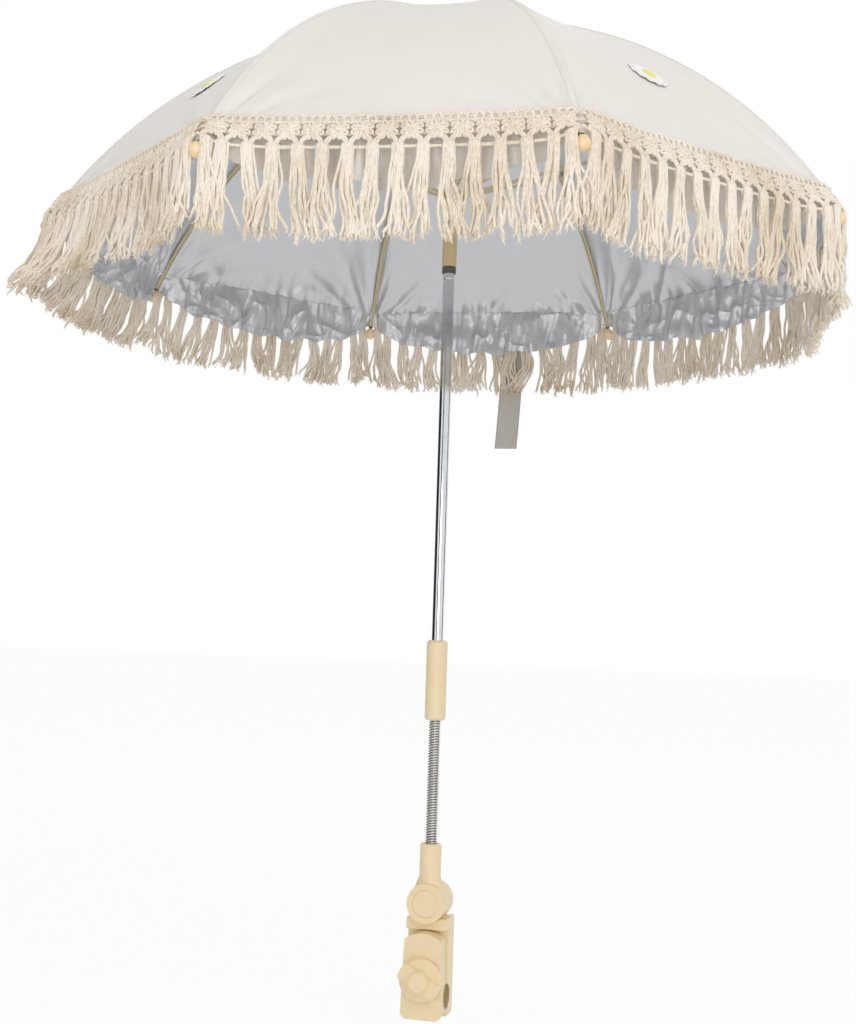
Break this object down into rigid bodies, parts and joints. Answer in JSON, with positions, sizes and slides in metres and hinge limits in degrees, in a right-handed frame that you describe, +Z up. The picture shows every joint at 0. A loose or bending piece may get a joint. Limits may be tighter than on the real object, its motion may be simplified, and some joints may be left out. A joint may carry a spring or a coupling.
{
  "type": "pram parasol",
  "caption": "Round fringed sun parasol for a pram: folding ribbed canopy on a chromed pole, bendable gooseneck, tilting arm and a screw clamp for a round tube.",
  "frame": {"origin": "centre of the clamp's mouth, on the pole's axis, where the pram's tube passes", "axes": "+Z up along the pole, +X along the clamped tube, -Y the side of the clamp's knob"},
  "size_m": [0.7254, 0.7254, 0.949],
  "materials": {
    "cream_plastic": "moulded, satin gloss",
    "plain_steel": "bright drawn wire and turned steel",
    "chromed_tube": "polished plating",
    "grey_rubber": "matt",
    "turned_wood": "smooth, thin varnish",
    "painted_steel": "khaki-gold paint",
    "cotton_cord": "knotted natural cotton",
    "woven_strap": "plain weave",
    "canopy_cloth": "off-white outside, silver coated inside"
  },
  "bodies": {
    "clamp": {"clamp_body": "cream_plastic", "rear_jaw_pad": "grey_rubber", "clamp_nut": "plain_steel", "pivot_nut": "plain_steel"},
    "jaw": {"front_jaw": "cream_plastic", "front_jaw_pad": "grey_rubber", "knob_washer": "plain_steel"},
    "knob": {"clamp_knob": "cream_plastic", "knob_cap": "cream_plastic", "clamp_screw": "plain_steel"},
    "arm": {"swivel_arm": "cream_plastic", "pivot_bolt": "plain_steel", "pivot_cap": "cream_plastic", "gooseneck_coil": "plain_steel", "gooseneck_core": "plain_steel"},
    "pole": {"grip_sleeve": "cream_plastic", "pole_tube": "chromed_tube", "crown_hub": "cream_plastic", "crown_wire": "plain_steel", "top_cap": "cream_plastic", "canopy": "canopy_cloth", "canopy_ruffle": "canopy_cloth"},
    "slider": {"runner": "cream_plastic", "runner_wire": "plain_steel"},
    "rib_arm_1": {"rib_1": "painted_steel", "rib_tip_1": "turned_wood"},
    "stay_1": {"stretcher_1": "painted_steel"},
    "fringe_wing_1": {"fringe_1": "cotton_cord"},
    "rib_arm_2": {"rib_2": "painted_steel", "rib_tip_2": "turned_wood"},
    "stay_2": {"stretcher_2": "painted_steel"},
    "fringe_wing_2": {"fringe_2": "cotton_cord"},
    "rib_arm_3": {"rib_3": "painted_steel", "rib_tip_3": "turned_wood"},
    "stay_3": {"stretcher_3": "painted_steel"},
    "fringe_wing_3": {"fringe_3": "cotton_cord"},
    "rib_arm_4": {"rib_4": "painted_steel", "rib_tip_4": "turned_wood"},
    "stay_4": {"stretcher_4": "painted_steel"},
    "fringe_wing_4": {"fringe_4": "cotton_cord", "closure_strap": "woven_strap"},
    "rib_arm_5": {"rib_5": "painted_steel", "rib_tip_5": "turned_wood"},
    "stay_5": {"stretcher_5": "painted_steel"},
    "fringe_wing_5": {"fringe_5": "cotton_cord"},
    "rib_arm_6": {"rib_6": "painted_steel", "rib_tip_6": "turned_wood"},
    "stay_6": {"stretcher_6": "painted_steel"},
    "fringe_wing_6": {"fringe_6": "cotton_cord"},
    "rib_arm_7": {"rib_7": "painted_steel", "rib_tip_7": "turned_wood"},
    "stay_7": {"stretcher_7": "painted_steel"},
    "fringe_wing_7": {"fringe_7": "cotton_cord"},
    "rib_arm_8": {"rib_8": "painted_steel", "rib_tip_8": "turned_wood"},
    "stay_8": {"stretcher_8": "painted_steel"},
    "fringe_wing_8": {"fringe_8": "cotton_cord"}
  },
  "joints": [
    {"name": "knob_turn", "type": "hinge", "parent": "jaw", "child": "knob", "pos_m": [0, -0.022, 0.018], "axis": [0, -1, 0], "range_deg": [0, 900]},
    {"name": "jaw_slide", "type": "slide", "parent": "clamp", "child": "jaw", "axis": [0, -1, 0], "range_m": [0, 0.01]},
    {"name": "arm_tilt", "type": "hinge", "parent": "clamp", "child": "arm", "pos_m": [0, 0, 0.084], "axis": [0, 1, 0], "range_deg": [-90, 90]},
    {"name": "gooseneck_bend", "type": "hinge", "parent": "arm", "child": "pole", "pos_m": [0, 0, 0.1935], "axis": [1, 0, 0], "range_deg": [-75, 75], "deforming": ["gooseneck_coil", "gooseneck_core"]},
    {"name": "canopy_fold", "type": "hinge", "parent": "pole", "child": "rib_arm_1", "pos_m": [0.00453, -0.00835, 0.91257], "axis": [0.8788, 0.4772, 0], "range_deg": [0, 55], "deforming": ["canopy", "canopy_ruffle", "closure_strap", "fringe_1", "fringe_2", "fringe_3", "fringe_4", "fringe_5", "fringe_6", "fringe_7", "fringe_8"]},
    {"name": "elbow_1", "type": "hinge", "parent": "rib_arm_1", "child": "stay_1", "pos_m": [0.11134, -0.20506, 0.8304], "axis": [0.8788, 0.4772, 0], "range_deg": [-110, 0]},
    {"name": "fringe_hang_1", "type": "hinge", "parent": "rib_arm_1", "child": "fringe_wing_1", "pos_m": [0.1681, -0.30961, 0.711], "axis": [0.8788, 0.4772, 0], "range_deg": [-55, 0]},
    {"name": "rib_fold_2", "type": "hinge", "parent": "pole", "child": "rib_arm_2", "pos_m": [0.00911, -0.0027, 0.91257], "axis": [0.284, 0.9588, 0], "range_deg": [0, 55]},
    {"name": "elbow_2", "type": "hinge", "parent": "rib_arm_2", "child": "stay_2", "pos_m": [0.22373, -0.06627, 0.8304], "axis": [0.284, 0.9588, 0], "range_deg": [-110, 0]},
    {"name": "fringe_hang_2", "type": "hinge", "parent": "rib_arm_2", "child": "fringe_wing_2", "pos_m": [0.33779, -0.10006, 0.711], "axis": [0.284, 0.9588, 0], "range_deg": [-55, 0]},
    {"name": "rib_fold_3", "type": "hinge", "parent": "pole", "child": "rib_arm_3", "pos_m": [0.00835, 0.00453, 0.91257], "axis": [-0.4772, 0.8788, 0], "range_deg": [0, 55]},
    {"name": "elbow_3", "type": "hinge", "parent": "rib_arm_3", "child": "stay_3", "pos_m": [0.20506, 0.11134, 0.8304], "axis": [-0.4772, 0.8788, 0], "range_deg": [-110, 0]},
    {"name": "fringe_hang_3", "type": "hinge", "parent": "rib_arm_3", "child": "fringe_wing_3", "pos_m": [0.30961, 0.1681, 0.711], "axis": [-0.4772, 0.8788, 0], "range_deg": [-55, 0]},
    {"name": "rib_fold_4", "type": "hinge", "parent": "pole", "child": "rib_arm_4", "pos_m": [0.0027, 0.00911, 0.91257], "axis": [-0.9588, 0.284, 0], "range_deg": [0, 55]},
    {"name": "elbow_4", "type": "hinge", "parent": "rib_arm_4", "child": "stay_4", "pos_m": [0.06627, 0.22373, 0.8304], "axis": [-0.9588, 0.284, 0], "range_deg": [-110, 0]},
    {"name": "fringe_hang_4", "type": "hinge", "parent": "rib_arm_4", "child": "fringe_wing_4", "pos_m": [0.10006, 0.33779, 0.711], "axis": [-0.9588, 0.284, 0], "range_deg": [-55, 0]},
    {"name": "rib_fold_5", "type": "hinge", "parent": "pole", "child": "rib_arm_5", "pos_m": [-0.00453, 0.00835, 0.91257], "axis": [-0.8788, -0.4772, 0], "range_deg": [0, 55]},
    {"name": "elbow_5", "type": "hinge", "parent": "rib_arm_5", "child": "stay_5", "pos_m": [-0.11134, 0.20506, 0.8304], "axis": [-0.8788, -0.4772, 0], "range_deg": [-110, 0]},
    {"name": "fringe_hang_5", "type": "hinge", "parent": "rib_arm_5", "child": "fringe_wing_5", "pos_m": [-0.1681, 0.30961, 0.711], "axis": [-0.8788, -0.4772, 0], "range_deg": [-55, 0]},
    {"name": "rib_fold_6", "type": "hinge", "parent": "pole", "child": "rib_arm_6", "pos_m": [-0.00911, 0.0027, 0.91257], "axis": [-0.284, -0.9588, 0], "range_deg": [0, 55]},
    {"name": "elbow_6", "type": "hinge", "parent": "rib_arm_6", "child": "stay_6", "pos_m": [-0.22373, 0.06627, 0.8304], "axis": [-0.284, -0.9588, 0], "range_deg": [-110, 0]},
    {"name": "fringe_hang_6", "type": "hinge", "parent": "rib_arm_6", "child": "fringe_wing_6", "pos_m": [-0.33779, 0.10006, 0.711], "axis": [-0.284, -0.9588, 0], "range_deg": [-55, 0]},
    {"name": "rib_fold_7", "type": "hinge", "parent": "pole", "child": "rib_arm_7", "pos_m": [-0.00835, -0.00453, 0.91257], "axis": [0.4772, -0.8788, 0], "range_deg": [0, 55]},
    {"name": "elbow_7", "type": "hinge", "parent": "rib_arm_7", "child": "stay_7", "pos_m": [-0.20506, -0.11134, 0.8304], "axis": [0.4772, -0.8788, 0], "range_deg": [-110, 0]},
    {"name": "fringe_hang_7", "type": "hinge", "parent": "rib_arm_7", "child": "fringe_wing_7", "pos_m": [-0.30961, -0.1681, 0.711], "axis": [0.4772, -0.8788, 0], "range_deg": [-55, 0]},
    {"name": "rib_fold_8", "type": "hinge", "parent": "pole", "child": "rib_arm_8", "pos_m": [-0.0027, -0.00911, 0.91257], "axis": [0.9588, -0.284, 0], "range_deg": [0, 55]},
    {"name": "elbow_8", "type": "hinge", "parent": "rib_arm_8", "child": "stay_8", "pos_m": [-0.06627, -0.22373, 0.8304], "axis": [0.9588, -0.284, 0], "range_deg": [-110, 0]},
    {"name": "fringe_hang_8", "type": "hinge", "parent": "rib_arm_8", "child": "fringe_wing_8", "pos_m": [-0.10006, -0.33779, 0.711], "axis": [0.9588, -0.284, 0], "range_deg": [-55, 0]},
    {"name": "runner_hang", "type": "hinge", "parent": "stay_1", "child": "slider", "pos_m": [0.00453, -0.00835, 0.74823], "axis": [0.8788, 0.4772, 0], "range_deg": [0, 55]}
  ],
  "couplings": [
    {"joint": "knob_turn", "follows": "jaw_slide", "rad_per_m": 1570.8},
    {"joint": "elbow_1", "follows": "canopy_fold", "ratio": -2},
    {"joint": "fringe_hang_1", "follows": "canopy_fold", "ratio": -1},
    {"joint": "rib_fold_2", "follows": "canopy_fold", "ratio": 1},
    {"joint": "elbow_2", "follows": "canopy_fold", "ratio": -2},
    {"joint": "fringe_hang_2", "follows": "canopy_fold", "ratio": -1},
    {"joint": "rib_fold_3", "follows": "canopy_fold", "ratio": 1},
    {"joint": "elbow_3", "follows": "canopy_fold", "ratio": -2},
    {"joint": "fringe_hang_3", "follows": "canopy_fold", "ratio": -1},
    {"joint": "rib_fold_4", "follows": "canopy_fold", "ratio": 1},
    {"joint": "elbow_4", "follows": "canopy_fold", "ratio": -2},
    {"joint": "fringe_hang_4", "follows": "canopy_fold", "ratio": -1},
    {"joint": "rib_fold_5", "follows": "canopy_fold", "ratio": 1},
    {"joint": "elbow_5", "follows": "canopy_fold", "ratio": -2},
    {"joint": "fringe_hang_5", "follows": "canopy_fold", "ratio": -1},
    {"joint": "rib_fold_6", "follows": "canopy_fold", "ratio": 1},
    {"joint": "elbow_6", "follows": "canopy_fold", "ratio": -2},
    {"joint": "fringe_hang_6", "follows": "canopy_fold", "ratio": -1},
    {"joint": "rib_fold_7", "follows": "canopy_fold", "ratio": 1},
    {"joint": "elbow_7", "follows": "canopy_fold", "ratio": -2},
    {"joint": "fringe_hang_7", "follows": "canopy_fold", "ratio": -1},
    {"joint": "rib_fold_8", "follows": "canopy_fold", "ratio": 1},
    {"joint": "elbow_8", "follows": "canopy_fold", "ratio": -2},
    {"joint": "fringe_hang_8", "follows": "canopy_fold", "ratio": -1},
    {"joint": "runner_hang", "follows": "canopy_fold", "ratio": 1}
  ]
}
